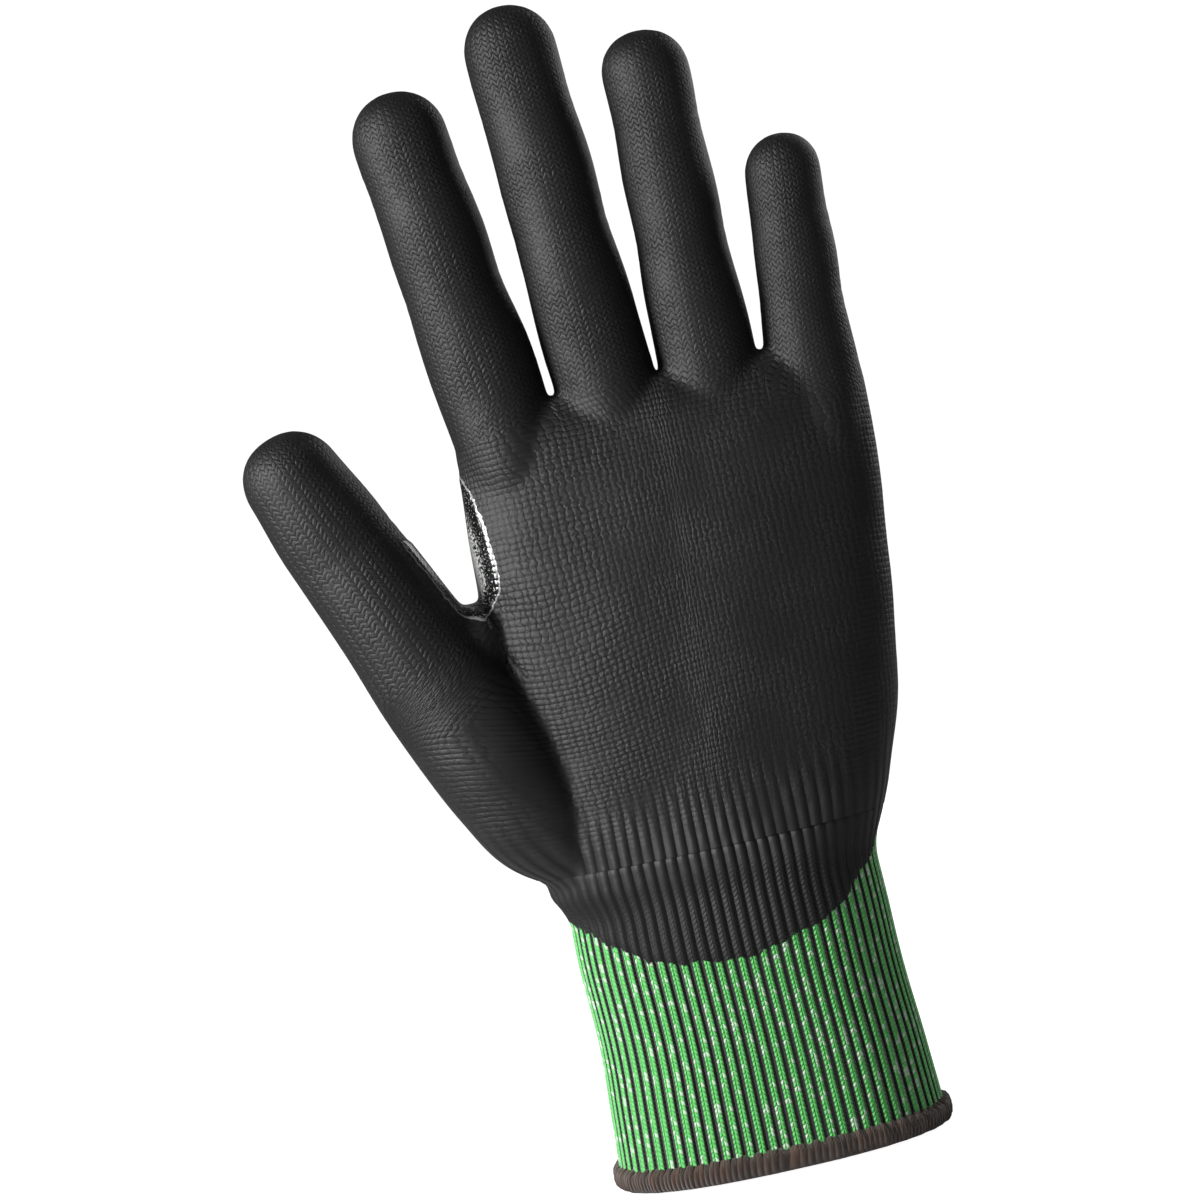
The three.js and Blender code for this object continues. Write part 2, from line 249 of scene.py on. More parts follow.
def finger_outline(lengths, halves):
    """A finger's outline rows, from its root inside the palm to its tip."""
    proximal, middle, distal = lengths
    total = sum(lengths)
    heights = (16, proximal * 0.72, proximal, proximal + middle * 0.5, proximal + middle, total - 9)
    rows = [(-20, halves[0] - 5, 3.5), (-9, halves[0] - 1.4, 8.6), (2, halves[0] - 0.1, 10.3)]
    return rows + [(z, a, a * FINGER_DEPTH) for z, a in zip(heights, halves)]


finger_frames = {}
finger_bodies = {}
forms = [palm_form()]
for name, (at, lean, lengths, halves) in FINGERS.items():
    matrix = local_frame(at, lean)
    finger_frames[name] = (matrix, lengths)
    finger_bodies[name] = [f"{name}_{part}" for part in ("proximal", "middle", "distal")]
    rings = finger_rings(matrix, finger_outline(lengths, halves), sum(lengths), halves[-1])
    forms.append(loft(f"{name}_form", rings))
thumb_frame = local_frame(*THUMB[:3])
finger_frames["thumb"] = (thumb_frame, THUMB[3])
finger_bodies["thumb"] = ["thumb_proximal", "thumb_distal"]
web = Matrix.Translation((-39.2, -3.5, 116.5)) @ Matrix.Diagonal((1, 1.25, 1, 1))
forms.append(loft("web_form", finger_rings(web, [(-9, 3, 3), (-4, 6.2, 6.2), (1, 7, 7)], 7.5, 6.5)))
forms.append(loft("thumb_form", finger_rings(thumb_frame, THUMB_OUTLINE, sum(THUMB[3]), 10)))


def joined_skin(parts):
    """One closed surface round all the forms, with their meetings filleted."""
    for obj in bpy.context.selected_objects:
        obj.select_set(False)
    for obj in parts:
        obj.select_set(True)
    bpy.context.view_layer.objects.active = parts[0]
    bpy.ops.object.join()
    skin = parts[0]
    remesh = skin.modifiers.new("remesh", "REMESH")
    remesh.mode = "VOXEL"
    remesh.voxel_size = VOXEL * MM
    smooth = skin.modifiers.new("smooth", "SMOOTH")
    smooth.factor = 0.5
    smooth.iterations = SMOOTHING
    graph = bpy.context.evaluated_depsgraph_get()
    mesh = bpy.data.meshes.new_from_object(skin.evaluated_get(graph))
    bpy.data.objects.remove(skin)
    return mesh


skin_mesh = joined_skin(forms)


# ---- What every point of the skin knows -------------------------------------------------------
def arc_table(half_width, half_depth, steps=720):
    """Arc length round an oval against angle, zero at its palm side."""
    angles = np.linspace(-math.pi, math.pi, steps + 1)
    points = np.array([superellipse(t, half_width, half_depth) for t in angles])
    lengths = np.concatenate([[0], np.cumsum(np.linalg.norm(np.diff(points, axis=0), axis=1))])
    return angles, lengths - np.interp(-math.pi / 2, angles, lengths)


PALM_ARC = arc_table(41, 16)


def smoothstep(low, high, value):
    t = np.clip((value - low) / (high - low), 0, 1)
    return t * t * (3 - 2 * t)


def wrist_dip(x, y, z):
    """How far inside the coating's edge a point of the palm or wrist lies."""
    across = min(abs(x - DIP_CENTRE) / DIP_HALF_WIDTH, 1)
    climb = (1 - math.sqrt(1 - DIP_ROUND * across**2)) / (1 - math.sqrt(1 - DIP_ROUND))
    arc = (z - DIP_LOW - DIP_RISE * climb) / (1 + across)
    waver = 0.3 * math.sin(x * 0.35 + 1.1) + 0.2 * math.sin(x * 0.9)
    thumb_share = float(smoothstep(34, 47, -x))
    side = DIP_BACK - 8.4 * thumb_share - y + 0.8 * math.sin(z * 0.21) + 0.4 * math.sin(z * 0.63)
    return min(arc + waver, side)


def patch_distance(x, y, z):
    """How far inside the printed patch, which lines the thumb crotch, a point lies."""
    point = Vector((x, z))
    best = (1e9, 0)
    for i, (p, q) in enumerate(zip(PATCH_ROUTE, PATCH_ROUTE[1:])):
        start, run = Vector(p), Vector(q) - Vector(p)
        share = min(max((point - start).dot(run) / run.length_squared, 0), 1)
        best = min(best, ((point - start - run * share).length, i + share))
    distance, progress = best
    taper = math.sin(math.pi * progress / (len(PATCH_ROUTE) - 1)) ** 0.4 if distance < 9 else 0
    return min(PATCH_REACH * taper - distance, PATCH_HALF_DEPTH - abs(y + 2))


def local_floor(name):
    """How far up a finger, from its knuckle, its own knit pattern starts."""
    return -8 if name == "thumb" else 3


def rib_table():
    """Which rib lies in each direction from the middle of the cuff."""
    points = np.array([superellipse(t, CUFF_HALF_WIDTH, CUFF_HALF_DEPTH)
                       for t in np.linspace(-math.pi, math.pi, 2001)])
    run = np.concatenate([[0], np.cumsum(np.linalg.norm(np.diff(points, axis=0), axis=1))])
    directions = np.arctan2(points[:, 1], points[:, 0])
    directions[0], directions[-1] = -math.pi, math.pi
    return directions, run / run[-1] * RIBS, run[-1] / RIBS


RIB_DIRECTIONS, RIB_NUMBERS, RIB_PITCH = rib_table()


INVERSES = {n: (m.inverted(), lengths) for n, (m, lengths) in finger_frames.items()}


def region_of(point):
    """The finger that a point belongs to, its place on that finger and the lengths, or None."""
    best = None
    for name, (inverse, lengths) in INVERSES.items():
        local = inverse @ point
        if local.z > local_floor(name) and abs(local.x) < 14 and local.z < sum(lengths) + 4:
            if best is None or abs(local.x) < abs(best[1].x):
                best = (name, local, lengths)
    return best


def crease_depth(local, lengths):
    """Grooves where the fingers bend, on the palm side."""
    if local.y > 2:
        return 0
    depth = 0
    bow = 0.015 * local.x**2
    for stop in np.cumsum(lengths)[:-1]:
        for offset, amount in ((0, 0.22), (-3.1, 0.1), (2.6, 0.12)):
            depth += amount * math.exp(-((local.z - stop - offset - bow) / 1.1) ** 2)
    return depth * min(1, (2 - local.y) / 5)


def add_attributes(mesh):
    """Empty values for each point: its place in the knit, how far inside the coating and the
    print it lies, and its rib. The knit's third number is 0 on the palm, 1 on a finger, 2 to 2.5
    on the cuff's ribs, 3 on the hem and -1 inside the cuff."""
    mesh.attributes.new("knit", "FLOAT_VECTOR", "POINT")
    for name in ("dip", "patch", "rib"):
        mesh.attributes.new(name, "FLOAT", "POINT")
    return [mesh.attributes[name] for name in ("knit", "dip", "patch", "rib")]


def describe(mesh):
    """Fills in the values of each point of the skin, and then moves the points: the coating stands
    proud, joints crease and the fabric undulates."""
    knit, dip, patch, rib = add_attributes(mesh)
    normals = [v.normal.copy() for v in mesh.vertices]
    for vertex, normal in zip(mesh.vertices, normals):
        point = vertex.co / MM
        x, y, z = point
        found = region_of(point)
        inside_patch = patch_distance(x, y, z)
        crease = 0
        cx, cy, a, b = along_outline(HAND, min(max(z, HAND[0][0]), HAND[-1][0]))
        angle = math.atan2(-abs(y - cy) / b, (x - cx) / a)
        bow = 5.5 * math.exp(-(((x + 24) / 20) ** 2 + ((z - 104) / 26) ** 2))
        place = Vector((float(np.interp(angle, *PALM_ARC)) + cx, z + bow, 0))
        inside = wrist_dip(x, y, z)
        if found:
            name, local, lengths = found
            at = finger_frames[name][0].translation
            angle = math.atan2(-abs(local.y), local.x) + math.pi / 2
            share = float(smoothstep(local_floor(name), local_floor(name) + 16, local.z))
            place = place.lerp(Vector((at.x + angle * 9.8, at.z + local.z, 1)), share)
            tip = sum(lengths[:-1])
            on_side = FINGER_DIP_BACK - local.y + 0.5 * math.sin(local.z * 0.5)
            finger_inside = max(on_side, local.z - tip - 0.045 * local.x**2)
            inside += (finger_inside - inside) * share
            crease = crease_depth(local, lengths)
        knit.data[vertex.index].vector = place
        dip.data[vertex.index].value = inside
        patch.data[vertex.index].value = inside_patch
        rib.data[vertex.index].value = np.interp(math.atan2(y, x - CUFF_SHIFT), RIB_DIRECTIONS, RIB_NUMBERS)
        swell = FABRIC_SWELL * math.sin(x * 0.21 + z * 0.08) * math.sin(z * 0.17 - x * 0.05)
        proud = COAT_PROUD * float(smoothstep(-0.1, 0.9, inside))
        proud += PRINT_PROUD * float(smoothstep(-0.2, 0.5, inside_patch))
        vertex.co = (point + normal * (proud + swell - crease)) * MM
    mesh.update()
    mesh.attributes.new("smooth_normal", "FLOAT_VECTOR", "POINT")
    for vertex in mesh.vertices:
        mesh.attributes["smooth_normal"].data[vertex.index].vector = vertex.normal


describe(skin_mesh)


# ---- Cutting the skin into lengths -----------------------------------------------------------
def bisect(bm, point, normal, faces=None, clear=False, cap=False):
    """Cuts bm (in metres) by a plane given in mm; clear drops what lies beyond it."""
    if faces is None:
        faces = bm.faces[:]
    edges = {e for f in faces for e in f.edges}
    verts = {v for f in faces for v in f.verts}
    result = bmesh.ops.bisect_plane(bm, geom=[*faces, *edges, *verts], dist=1e-7,
                                    plane_co=Vector(point) * MM, plane_no=Vector(normal),
                                    clear_outer=clear)
    if cap:
        rim = [e for e in result["geom_cut"] if isinstance(e, bmesh.types.BMEdge)]
        filled = bmesh.ops.triangle_fill(bm, edges=rim, use_beauty=True, normal=Vector(normal))
        for face in (f for f in filled["geom"] if isinstance(f, bmesh.types.BMFace)):
            face.smooth = False


def plane_between(left, right, web):
    """The plane between two neighbouring fingers, through their web, facing the second."""
    a, b = (Vector(FINGERS[n][0]) for n in (left, right))
    middle = (a + b) / 2
    up = (Vector((web[0], 0, web[1])) - middle).normalized()
    return middle, Vector((up.z, 0, -up.x))


side_planes = {n: [] for n in finger_frames}
for (left, right), web in WEBS.items():
    middle, normal = plane_between(left, right, web)
    side_planes[left].append((middle, normal))
    side_planes[right].append((middle, -normal))
thumb_lean = math.radians(16)
thumb_side = (Vector((-38.2, 0, 122.5)), Vector((math.cos(thumb_lean), 0, math.sin(thumb_lean))))
side_planes["thumb"].append(thumb_side)


def root_plane(name):
    """The lower end of a finger's first piece, facing down."""
    matrix = finger_frames[name][0]
    low = THUMB_ROOT if name == "thumb" else FINGER_ROOT
    return matrix @ Vector((0, 0, low)), -(matrix.to_3x3() @ Vector((0, 0, 1)))


def beyond(point, plane):
    """How far a point in mm lies beyond a plane."""
    return (point - plane[0]).dot(plane[1])


def inside_region(point, name, margin):
    """Whether a point lies in a finger's part of the skin, or within a margin in mm of it."""
    planes = [root_plane(name), *side_planes[name]]
    off_thumb = name == "thumb" or beyond(point, thumb_side) > -margin
    return off_thumb and all(beyond(point, plane) < margin for plane in planes)


def finish_piece(bm, name):
    """The piece as an object, shaded with the whole skin's normals so that no cut shows."""
    mesh = bpy.data.meshes.new(name)
    bm.to_mesh(mesh)
    bm.free()
    for polygon in mesh.polygons:
        polygon.use_smooth = True
    normals = [tuple(d.vector) for d in mesh.attributes["smooth_normal"].data]
    mesh.normals_split_custom_set_from_vertices(normals)
    return new_object(name, mesh)


def copy_of_skin():
    bm = bmesh.new()
    bm.from_mesh(skin_mesh)
    return bm


def finger_piece(name, label, low, high):
    """The skin of one finger from height low to high on it; None is its root or its tip."""
    bm = copy_of_skin()
    matrix = finger_frames[name][0]
    axis = matrix.to_3x3() @ Vector((0, 0, 1))
    base = root_plane(name) if low is None else (matrix @ Vector((0, 0, low)), -axis)
    bisect(bm, *base, clear=True)
    if name != "thumb":
        bisect(bm, thumb_side[0], -thumb_side[1], clear=True)
    for plane in side_planes[name]:
        bisect(bm, *plane, clear=True, cap=low is None)
    if high is not None:
        bisect(bm, matrix @ Vector((0, 0, high)), axis, clear=True)
    return finish_piece(bm, label)


def palm_piece():
    """The rest of the skin, above the ribbed cuff."""
    bm = copy_of_skin()
    bisect(bm, (0, 0, RIB_TOP), (0, 0, -1), clear=True)
    for name in finger_frames:
        for plane in [root_plane(name), *side_planes[name]]:
            near = [f for f in bm.faces if inside_region(f.calc_center_median() / MM, name, 4)]
            bisect(bm, *plane, faces=near)
    gone = [f for f in bm.faces
            if any(inside_region(f.calc_center_median() / MM, n, 1e-4) for n in finger_frames)]
    bmesh.ops.delete(bm, geom=gone, context="FACES")
    return finish_piece(bm, "palm_skin")


palm_skin = palm_piece()
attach(palm_skin, "hand")
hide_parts("palm_liner", "palm_coating", "crotch_patch")
skin_pieces = [palm_skin]


def add_finger_pieces(name):
    """One piece for each joint of a finger."""
    matrix, lengths = finger_frames[name]
    thumb = name == "thumb"
    stops = [0, *np.cumsum(lengths)[:-1]]
    labels = ["base", "tip_joint"] if thumb else ["knuckle", "middle_joint", "tip_joint"]
    halfway = [stop + length / 2 for stop, length in zip(stops, lengths)]
    parts = [b.removeprefix(name + "_") for b in finger_bodies[name]]
    for i, (stop, label, part) in enumerate(zip(stops, labels, parts)):
        low = None if i == 0 else halfway[i - 1]
        high = halfway[i] if i + 1 < len(stops) else None
        piece = finger_piece(name, f"{name}_{label}_skin", low, high)
        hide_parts(f"{name}_{part}_liner", f"{name}_{part}_coating", f"{name}_{label}_fold")
        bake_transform(piece)
        skin_pieces.append(piece)


for name in finger_frames:
    add_finger_pieces(name)


# ---- Cuff ------------------------------------------------------------------------------------
skin_tree = BVHTree.FromPolygons([v.co / MM for v in skin_mesh.vertices],
                                 [tuple(p.vertices) for p in skin_mesh.polygons])


def cuff_radius_point(angle, z):
    """A point of the cuff's outer surface, before its ribs, and the way out from there."""
    a, b = CUFF_HALF_WIDTH, CUFF_HALF_DEPTH
    flare = 1.1 * math.exp(-z / 7) + 0.25 * math.sin(z * 0.16 + 0.5)
    waist = -0.9 * float(smoothstep(16, 42, z))
    px, py = superellipse(angle, a + flare + waist, b + flare + waist)
    shift = CUFF_SHIFT * float(smoothstep(20, 50, z))
    point = Vector((px + shift, py, z))
    out = Vector((px / a, py / b * 1.4, 0)).normalized()
    if z > 54:
        origin = Vector((CUFF_SHIFT, 0, z))
        direction = (point - origin).normalized()
        hit = skin_tree.ray_cast(origin, direction, 80)[0]
        if hit:
            point = point.lerp(hit - out * 0.04, float(smoothstep(54, 62, z)))
    return point, out


def cuff():
    """The ribbed knit, inside and outside, up to where the palm's skin takes over."""
    steps = np.linspace(-math.pi, math.pi, len(RIB_NUMBERS))
    angles = np.interp(np.arange(RIBS * RIB_STEPS) / RIB_STEPS, RIB_NUMBERS, steps)
    rings, places, dips = [], [], []
    inner = [(z, True) for z in np.linspace(RIB_TOP - 2, 2.2, 20)]
    outer = [(z, False) for z in np.linspace(2.2, RIB_TOP + 0.6, 66)]
    for z, is_inner in inner + outer:
        ring = []
        for i, angle in enumerate(angles):
            point, out = cuff_radius_point(angle, z)
            lobe = 0.5 + 0.5 * math.cos(2 * math.pi * i / RIB_STEPS)
            fade = 1 - float(smoothstep(57, RIB_TOP, z))
            inside = wrist_dip(point.x, point.y, z)
            depth = RIB_DEPTH * fade * (1 - lobe ** 0.75)
            if is_inner:
                point = point - out * (CUFF_WALL - 0.4 * lobe)
            else:
                coat = 0.22 * float(smoothstep(-0.1, 0.7, inside) * smoothstep(60, 54, z))
                point = point - out * (depth * (1 if inside < 0 else 0.8) - coat)
                point = point - out * 0.5 * float(smoothstep(RIB_TOP, RIB_TOP + 0.6, z))
            ring.append(point)
            places.append((i / RIB_STEPS * RIB_PITCH, z, -1 if is_inner else 2 + lobe * 0.5))
            dips.append(-9 if is_inner else inside)
        rings.append(ring)
    obj = loft("cuff_rib_knit", rings, closed_ends=False)
    knit, dip, patch, rib = add_attributes(obj.data)
    rib.data.foreach_set("value", [place[0] / RIB_PITCH for place in places])
    knit.data.foreach_set("vector", np.array(places, "f").ravel())
    dip.data.foreach_set("value", dips)
    patch.data.foreach_set("value", [-9.0] * len(dips))
    for polygon in obj.data.polygons:
        polygon.use_smooth = True
    return obj


cuff_knit = cuff()
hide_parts("cuff_rib", "wrist_fold")
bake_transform(cuff_knit)


def hem():
    """The overlocked edge: a roll of slanted threads, scalloped where the ribs end."""
    count = HEM_THREADS * HEM_THREAD_STEPS
    rings, places = [], []
    for i in range(count):
        angle = 2 * math.pi * i / count
        px, py = superellipse(angle, CUFF_HALF_WIDTH + 0.3, CUFF_HALF_DEPTH + 0.3)
        out = Vector((px / CUFF_HALF_WIDTH, py / CUFF_HALF_DEPTH * 1.4, 0)).normalized()
        rib = 0.5 + 0.5 * math.cos(angle * RIBS)
        ring = []
        for r, z in HEM_SECTION:
            phase = i / HEM_THREAD_STEPS + HEM_SLANT * z
            ridge = 0.16 * abs(math.sin(math.pi * phase)) if 0 < z < 4.95 else 0
            loose = 0.12 * math.sin(angle * 41) + 0.1 * math.sin(angle * 23 + 1)
            drop = 0.5 * rib if z > 4 and r > 0 else 0
            ring.append(Vector((px, py, z - drop)) + out * (r + ridge + (loose if z > 0.1 else 0)))
            places.append((i / HEM_THREAD_STEPS, z, 3))
        rings.append(ring)
    obj = loft("hem_overlock", rings + [rings[0]], closed_ends=False)
    bm = bmesh.new()
    bm.from_mesh(obj.data)
    bmesh.ops.remove_doubles(bm, verts=bm.verts[:], dist=1e-7)
    bmesh.ops.recalc_face_normals(bm, faces=bm.faces[:])
    bm.to_mesh(obj.data)
    bm.free()
    knit = obj.data.attributes.new("knit", "FLOAT_VECTOR", "POINT")
    knit.data.foreach_set("vector", np.array(places[:len(obj.data.vertices)], "f").ravel())
    for polygon in obj.data.polygons:
        polygon.use_smooth = True
    return obj


hem_band = hem()
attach(hem_band, "cuff")
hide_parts("overlock_hem")


# ---- Materials -------------------------------------------------------------------------------
class Nodes:
    """A little help for building a node tree from expressions."""

    def __init__(self, name):
        self.material = bpy.data.materials.new(name)
        self.material.use_nodes = True
        self.tree = self.material.node_tree
        self.shader = self.tree.nodes["Principled BSDF"]

    def node(self, kind, **settings):
        node = self.tree.nodes.new(kind)
        for key, value in settings.items():
            setattr(node, key, value)
        return node

    def put(self, socket, value):
        if isinstance(value, bpy.types.NodeSocket):
            self.tree.links.new(value, socket)
        else:
            socket.default_value = value

    def math(self, operation, *values):
        node = self.node("ShaderNodeMath", operation=operation)
        for socket, value in zip(node.inputs, values):
            self.put(socket, value)
        return node.outputs[0]

    def step(self, low, high, value):
        node = self.node("ShaderNodeMapRange", interpolation_type="SMOOTHSTEP")
        for key, v in (("Value", value), ("From Min", low), ("From Max", high)):
            self.put(node.inputs[key], v)
        return node.outputs[0]

    def noise(self, vector, scale, detail=2.0):
        node = self.node("ShaderNodeTexNoise")
        self.put(node.inputs["Vector"], vector)
        node.inputs["Scale"].default_value = scale
        node.inputs["Detail"].default_value = detail
        return node.outputs["Fac"]

    def mix(self, share, a, b):
        node = self.node("ShaderNodeMix", data_type="RGBA")
        self.put(node.inputs[0], share)
        self.put(node.inputs[6], a)
        self.put(node.inputs[7], b)
        return node.outputs[2]

    def blend(self, share, a, b):
        node = self.node("ShaderNodeMix", data_type="FLOAT")
        self.put(node.inputs[0], share)
        self.put(node.inputs[2], a)
        self.put(node.inputs[3], b)
        return node.outputs[0]

    def attribute(self, name):
        return self.node("ShaderNodeAttribute", attribute_name=name)

    def split(self, vector):
        node = self.node("ShaderNodeSeparateXYZ")
        self.put(node.inputs[0], vector)
        return node.outputs

    def random(self, x, y):
        """One random number for each whole-numbered cell."""
        cell = self.node("ShaderNodeCombineXYZ")
        self.put(cell.inputs["X"], self.math("FLOOR", x))
        self.put(cell.inputs["Y"], self.math("FLOOR", y))
        node = self.node("ShaderNodeTexWhiteNoise", noise_dimensions="3D")
        self.put(node.inputs["Vector"], cell.outputs[0])
        return node.outputs["Value"]

    def bump(self, height, distance):
        node = self.node("ShaderNodeBump")
        self.put(node.inputs["Height"], height)
        self.put(node.inputs["Distance"], distance)
        self.put(node.inputs["Strength"], 1.0)
        return node.outputs[0]


def ripple(n, value, sharpness):
    """A row of rounded ridges, one for each whole number."""
    wave = n.math("ABSOLUTE", n.math("SINE", n.math("MULTIPLY", value, math.pi)))
    return n.math("POWER", wave, sharpness)


def stitches(n, u, v, wale, course, slant):
    """Height and cell of a knit of V stitches: u and v in mm, wales and courses in mm."""
    across = n.math("DIVIDE", u, wale)
    half = n.math("ABSOLUTE", n.math("SUBTRACT", n.math("FRACT", across), 0.5))
    along = n.math("ADD", n.math("DIVIDE", v, course), n.math("MULTIPLY", half, slant))
    leg = ripple(n, n.math("MULTIPLY", across, 2.0), 0.6)
    loop = ripple(n, along, 0.7)
    return n.math("MULTIPLY", leg, n.math("ADD", 0.35, n.math("MULTIPLY", loop, 0.65))), across, along


def glove_material():
    """The dipped coating where dip is positive, bare knit elsewhere, and the crotch print."""
    n = Nodes("glove_skin")
    knit = n.attribute("knit").outputs["Vector"]
    u, v, kind = n.split(knit)
    ribbed = n.math("GREATER_THAN", kind, 1.5)
    lining = n.math("LESS_THAN", kind, -0.5)
    finger = n.math("MULTIPLY", n.math("GREATER_THAN", kind, 0.5), n.math("SUBTRACT", 1.0, ribbed))
    crest = n.math("MULTIPLY", n.math("SUBTRACT", kind, 2.0), 2.0)
    wobble = n.math("MULTIPLY", n.math("SUBTRACT", n.noise(knit, 0.35), 0.5), 0.9)

    # Bare knit: V stitches, green and black with white flecks, with painted shade in the gaps between the
    # stitches and black painted as shade in the cuff's rib valleys.
    vv = n.math("ADD", v, wobble)
    rib_u = n.math("ADD", u, RIB_PITCH / 2)
    rib_v, rib_across, rib_along = stitches(n, rib_u, v, RIB_PITCH, LINER_COURSE, 1.6)
    flat_v, across, along = stitches(n, u, vv, LINER_WALE, LINER_COURSE, 1.4)
    knit_height = n.blend(ribbed, flat_v, rib_v)
    cell_rib = n.random(n.math("MULTIPLY", rib_across, 2.0), rib_along)
    cell_flat = n.random(n.math("MULTIPLY", across, 2.0), along)
    fleck = n.math("GREATER_THAN", n.blend(ribbed, cell_flat, cell_rib), 0.83)
    dark = n.math("LESS_THAN", cell_flat, 0.4)
    # Painted shade: the green darkens where the knit is low, between the stitches.
    shade = n.mix(n.math("MULTIPLY", knit_height, 0.9), GREEN_IN_PAINTED_SHADE, GREEN)
    flecked = n.mix(n.math("MULTIPLY", fleck, 0.5), shade, WHITE_YARN)
    flat_colour = n.mix(n.math("MULTIPLY", dark, 0.92), flecked, BLACK_YARN_AND_RIB_SHADE)
    # Painted shade: the cuff's rib valleys are coloured black.
    painted_rib_valley_shade = n.step(0.62, 0.3, crest)
    rib_colour = n.mix(painted_rib_valley_shade, flecked, BLACK_YARN_AND_RIB_SHADE)
    bare = n.mix(ribbed, flat_colour, rib_colour)
    bare = n.mix(lining, bare, LINING_GREEN)

    # The coating: the knit shows through it as dimples on the palm and chevrons on the fingers.
    rows = ripple(n, n.math("DIVIDE", vv, DIMPLE_HEIGHT), 0.8)
    jitter = n.math("MULTIPLY", n.noise(knit, 0.8), 1.4)
    columns = ripple(n, n.math("ADD", n.math("DIVIDE", u, DIMPLE_WIDTH), jitter), 0.8)
    dimples = n.math("ADD", n.math("MULTIPLY", rows, 0.5), n.math("MULTIPLY", columns, 0.42))
    legs, _, along_finger = stitches(n, u, vv, FINGER_WALE, FINGER_COURSE, 1.3)
    waves = ripple(n, n.math("ADD", along_finger, n.math("MULTIPLY", jitter, 0.5)), 0.8)
    chevron = n.math("ADD", n.math("MULTIPLY", waves, 0.6), n.math("MULTIPLY", legs, 0.3))
    through = n.blend(finger, dimples, chevron)
    under = ripple(n, n.math("ADD", n.attribute("rib").outputs["Fac"], 0.5), 1.2)
    ribs_show = n.math("MULTIPLY", n.step(86.0, float(RIB_TOP), v), 0.95)
    through = n.blend(ribs_show, through, n.math("MULTIPLY", under, 2.2))
    on_cuff = n.blend(n.step(57.0, float(RIB_TOP), v), n.math("MULTIPLY", rib_v, 0.45), through)
    through = n.blend(ribbed, through, on_cuff)
    patchy = n.step(0.3, 0.7, n.noise(knit, 0.09, 3.0))
    through = n.math("MULTIPLY", through, n.math("ADD", 0.45, n.math("MULTIPLY", patchy, 0.55)))
    grain = n.noise(knit, 5.5, 3.0)
    coat_height = n.math("ADD", through, n.math("MULTIPLY", grain, 0.22))
    coat = n.mix(n.math("MULTIPLY", n.math("POWER", through, 2.0), 0.8), COATING, COATING_WORN)

    edge_noise = n.math("MULTIPLY", n.math("SUBTRACT", n.noise(knit, 0.9, 3.0), 0.5), 1.6)
    dip = n.math("ADD", n.attribute("dip").outputs["Fac"], edge_noise)
    coated = n.step(-0.12, 0.12, dip)
    colour = n.mix(coated, bare, coat)
    height = n.blend(coated, n.math("MULTIPLY", knit_height, 1.5), n.math("ADD", coat_height, 0.8))
    rough = n.blend(coated, 0.88, n.math("ADD", 0.47, n.math("MULTIPLY", grain, 0.16)))

    # The crotch print: glossy black, with a painted pale grey reflection at its outer side flecked with
    # black, a painted highlight along its edge and painted glints.
    patch = n.math("ADD", n.attribute("patch").outputs["Fac"],
                   n.math("MULTIPLY", n.math("SUBTRACT", n.noise(knit, 0.5), 0.5), 1.2))
    printed = n.step(0.0, 0.15, patch)
    # Painted highlight: a pale band along the print's edge.
    rim = n.math("MULTIPLY", printed, n.step(0.5, 0.25, patch))
    specks = n.step(0.47, 0.52, n.noise(knit, 1.5, 4.0))
    # Painted reflection: pale grey deep in the print, with black flecks.
    painted_silver_reflection = n.mix(n.math("MULTIPLY", specks, n.step(4.6, 3.0, patch)), PAINTED_REFLECTION_GREY, PRINT_BLACK)
    # Painted glints: highlights of light on the black of the print.
    glints = n.step(0.6, 0.66, n.noise(knit, 2.4, 3.0))
    black = n.mix(n.math("MULTIPLY", glints, 0.7), PRINT_BLACK, PAINTED_REFLECTION_GREY)
    # heart picks the part of the print that shows the painted reflection.
    heart = n.step(2.0, 3.4, patch)
    print_colour = n.mix(rim, n.mix(heart, black, painted_silver_reflection), PAINTED_EDGE_HIGHLIGHT)
    colour = n.mix(printed, colour, print_colour)
    rough = n.blend(printed, rough, 0.2)
    height = n.blend(printed, height, n.math("ADD", 1.2, n.math("MULTIPLY", through, 0.35)))

    n.put(n.shader.inputs["Base Color"], colour)
    n.put(n.shader.inputs["Roughness"], rough)
    n.put(n.shader.inputs["Specular IOR Level"], n.blend(coated, 0.2, 0.36))
    n.put(n.shader.inputs["Sheen Weight"], n.blend(coated, 0.35, 0.0))
    n.put(n.shader.inputs["Normal"], n.bump(height, 0.00027))
    return n.material


def hem_material():
    """Brown overlock thread: fine plied strands across the edge."""
    n = Nodes("hem_thread")
    knit = n.attribute("knit").outputs["Vector"]
    u, v, _ = n.split(knit)
    strand = n.math("ADD", u, n.math("MULTIPLY", v, HEM_SLANT))
    ridge = ripple(n, strand, 0.8)
    ply = ripple(n, n.math("ADD", n.math("MULTIPLY", v, 2.2), n.math("MULTIPLY", strand, 2.0)), 1.0)
    tone = n.random(strand, 0.0)
    height = n.math("ADD", ridge, n.math("MULTIPLY", ply, 0.35))
    colour = n.mix(n.step(0.5, 0.0, ridge), n.mix(tone, HEM_DEEP_BROWN, HEM_BROWN), HEM_SHADOW)
    n.put(n.shader.inputs["Base Color"], colour)
    n.put(n.shader.inputs["Roughness"], 0.8)
    n.put(n.shader.inputs["Sheen Weight"], 0.3)
    n.put(n.shader.inputs["Normal"], n.bump(height, 0.0003))
    return n.material


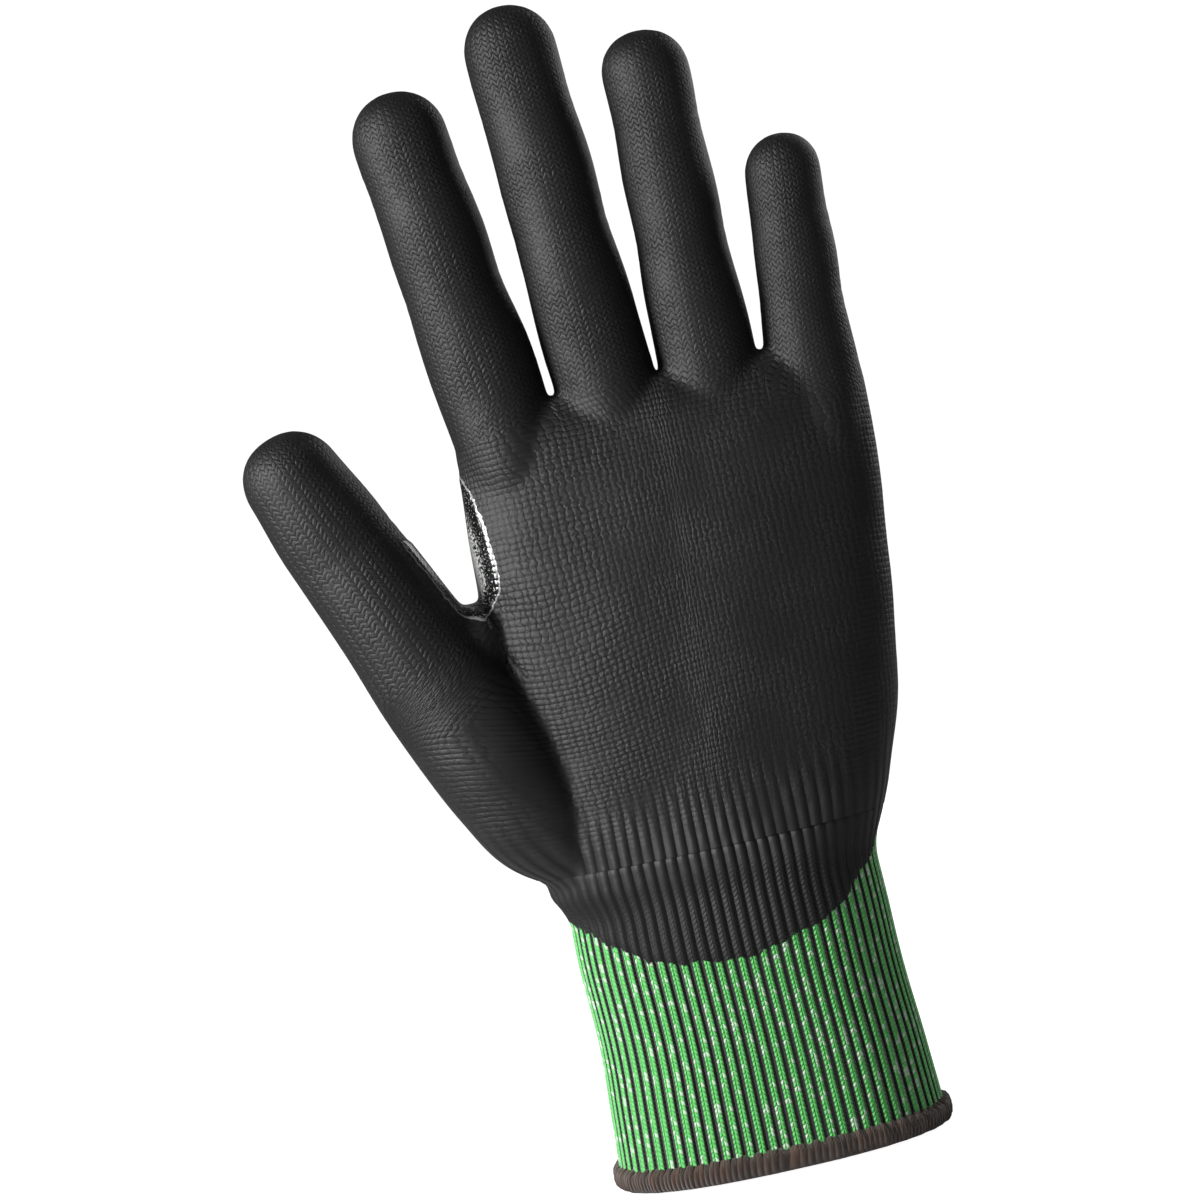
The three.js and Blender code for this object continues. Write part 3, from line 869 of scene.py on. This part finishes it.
def elastic_material():
    """Black spun yarn."""
    n = Nodes("elastic_thread")
    place = n.node("ShaderNodeTexCoord").outputs["Object"]
    x, _, z = n.split(place)
    twist = ripple(n, n.math("MULTIPLY", n.math("ADD", x, z), 1200.0), 1.0)
    n.put(n.shader.inputs["Base Color"], n.mix(twist, ELASTIC_BLACK, ELASTIC_GREY))
    n.put(n.shader.inputs["Roughness"], 0.85)
    n.put(n.shader.inputs["Normal"], n.bump(twist, 0.0001))
    return n.material


glove_skin = glove_material()
for piece in [*skin_pieces, cuff_knit]:
    piece.data.materials.clear()
    piece.data.materials.append(glove_skin)
hem_band.data.materials.append(hem_material())
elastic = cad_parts["elastic_yarn"]
for slot in elastic.material_slots:
    slot.material = elastic_material()


# ---- Floor, light and camera ------------------------------------------------------------------
def floor():
    """A floor that the camera sees as white, and that lends the glove little light."""
    bpy.ops.mesh.primitive_plane_add(size=6, location=(0, 0, -0.0003))
    obj = bpy.context.object
    obj.name = "floor"
    n = Nodes("floor_white")
    seen = n.node("ShaderNodeLightPath").outputs["Is Camera Ray"]
    n.put(n.shader.inputs["Base Color"], (0.45, 0.45, 0.45, 1))
    n.put(n.shader.inputs["Roughness"], 0.9)
    n.put(n.shader.inputs["Emission Color"], (1, 1, 1, 1))
    n.put(n.shader.inputs["Emission Strength"], n.math("MULTIPLY", seen, 0.96))
    obj.data.materials.append(n.material)


def area_light(name, place, target, size, watts):
    data = bpy.data.lights.new(name, "AREA")
    data.shape = "DISK"
    data.size = size
    data.energy = watts
    light = bpy.data.objects.new(name, data)
    light.location = place
    light.rotation_euler = (Vector(target) - Vector(place)).to_track_quat("-Z", "Y").to_euler()
    bpy.context.scene.collection.objects.link(light)


def studio():
    """A room that shows white and lights the glove only faintly, and the lights."""
    world = bpy.data.worlds.new("studio")
    bpy.context.scene.world = world
    world.use_nodes = True
    tree = world.node_tree
    back = tree.nodes["Background"]
    path = tree.nodes.new("ShaderNodeLightPath")
    strength = tree.nodes.new("ShaderNodeMapRange")
    strength.inputs["To Min"].default_value = 0.1
    strength.inputs["To Max"].default_value = 1.05
    tree.links.new(path.outputs["Is Camera Ray"], strength.inputs["Value"])
    tree.links.new(strength.outputs[0], back.inputs["Strength"])
    back.inputs["Color"].default_value = (1, 1, 1, 1)
    for light in LIGHTS:
        area_light(*light)
    bpy.context.scene.view_settings.view_transform = "Standard"


def camera():
    """A camera that faces the palm, rolled so that the glove leans as in the photograph."""
    data = bpy.data.cameras.new("camera")
    data.lens = data.sensor_width * DISTANCE / FRAME_WIDTH
    obj = bpy.data.objects.new("camera", data)
    bpy.context.scene.collection.objects.link(obj)
    bpy.context.scene.camera = obj
    turn = Matrix.Rotation(math.radians(ROLL), 4, "Y")
    obj.matrix_world = (Matrix.Translation(AIM + Vector((0, -DISTANCE, 0))) @ turn
                        @ Matrix.Rotation(math.pi / 2, 4, "X"))


floor()
studio()
camera()
